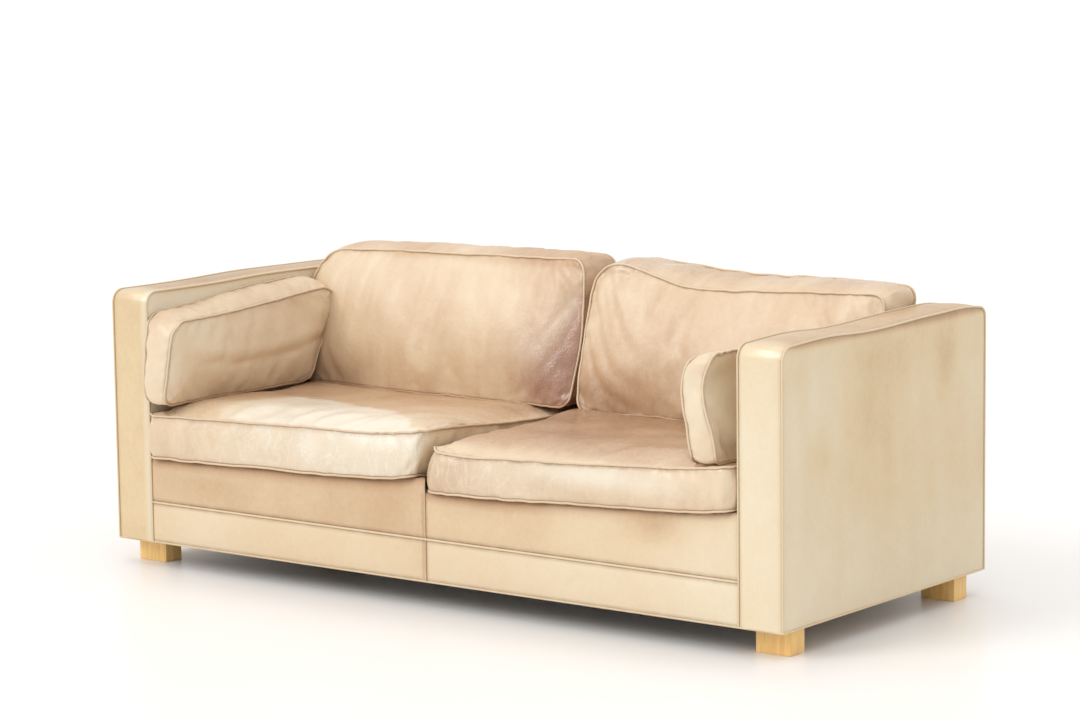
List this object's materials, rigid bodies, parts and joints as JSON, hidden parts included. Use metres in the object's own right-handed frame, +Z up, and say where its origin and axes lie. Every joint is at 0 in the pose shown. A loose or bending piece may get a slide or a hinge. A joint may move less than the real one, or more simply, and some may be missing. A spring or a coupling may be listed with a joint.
{
  "type": "worn leather sofa",
  "caption": "Low box sofa for two with slab arms, loose seat and back cushions and loose arm pillows in worn, stained natural leather, on square oak feet.",
  "frame": {"origin": "on the floor, at the bottom centre of the sofa's bounding box", "axes": "+X along the length to the right of someone facing the sofa's front, +Y from the front to the back, +Z up"},
  "size_m": [1.8, 0.788, 0.6836],
  "materials": {
    "arm_leather": "worn vegetable-tanned leather, satin, cream with soft brown blotches",
    "front_leather": "worn vegetable-tanned leather, satin, tan fading to cream low down",
    "back_leather": "vegetable-tanned leather, satin, plain beige",
    "seat_leather": "worn, creased leather, half gloss, tan with a bleached patch",
    "back_cushion_leather": "worn, softly folded leather, satin, beige with a brown glossy stain",
    "pillow_leather": "worn, creased leather, satin, tan to cream",
    "oak_foot": "clear-lacquered oak, straight grain",
    "beech_frame": "planed beech, bare",
    "plywood": "bare plywood",
    "foam": "open-cell foam, matte, aged yellow",
    "webbing": "woven elastic webbing, matte",
    "lining_cloth": "thin woven lining, matte",
    "steel_bolt": "zinc-plated steel"
  },
  "bodies": {
    "root": {"arm_left_back_post": "beech_frame", "arm_left_bottom_rail": "beech_frame", "arm_left_front_foam": "foam", "arm_left_front_post": "beech_frame", "arm_left_inner_board": "plywood", "arm_left_inner_leather": "arm_leather", "arm_left_outer_board": "plywood", "arm_left_outer_leather": "arm_leather", "arm_left_strip_leather": "arm_leather", "arm_left_top_foam": "foam", "arm_left_top_rail": "beech_frame", "arm_pillow_left": "pillow_leather", "arm_pillow_right": "pillow_leather", "arm_right_back_post": "beech_frame", "arm_right_bottom_rail": "beech_frame", "arm_right_front_foam": "foam", "arm_right_front_post": "beech_frame", "arm_right_inner_board": "plywood", "arm_right_inner_leather": "arm_leather", "arm_right_outer_board": "plywood", "arm_right_outer_leather": "arm_leather", "arm_right_strip_leather": "arm_leather", "arm_right_top_foam": "foam", "arm_right_top_rail": "beech_frame", "back_cushion_left": "back_cushion_leather", "back_cushion_right": "back_cushion_leather", "back_foam": "foam", "back_inner_leather": "back_leather", "back_outer_leather_left": "back_leather", "back_outer_leather_right": "back_leather", "back_post_left": "beech_frame", "back_post_middle": "beech_frame", "back_post_right": "beech_frame", "back_top_rail": "beech_frame", "dust_cover": "lining_cloth", "foot_back_left": "oak_foot", "foot_back_right": "oak_foot", "foot_bolt_back_left": "steel_bolt", "foot_bolt_back_right": "steel_bolt", "foot_bolt_front_left": "steel_bolt", "foot_bolt_front_right": "steel_bolt", "foot_front_left": "oak_foot", "foot_front_right": "oak_foot", "front_foam": "foam", "front_lower_leather_left": "front_leather", "front_lower_leather_right": "front_leather", "front_upper_leather_left": "front_leather", "front_upper_leather_right": "front_leather", "seat_back_rail": "beech_frame", "seat_cushion_left": "seat_leather", "seat_cushion_right": "seat_leather", "seat_deck_cloth": "lining_cloth", "seat_front_rail": "beech_frame", "seat_middle_rail": "beech_frame", "seat_webbing_1": "webbing", "seat_webbing_2": "webbing", "seat_webbing_3": "webbing", "seat_webbing_4": "webbing", "seat_webbing_5": "webbing", "seat_webbing_6": "webbing"}
  },
  "joints": []
}
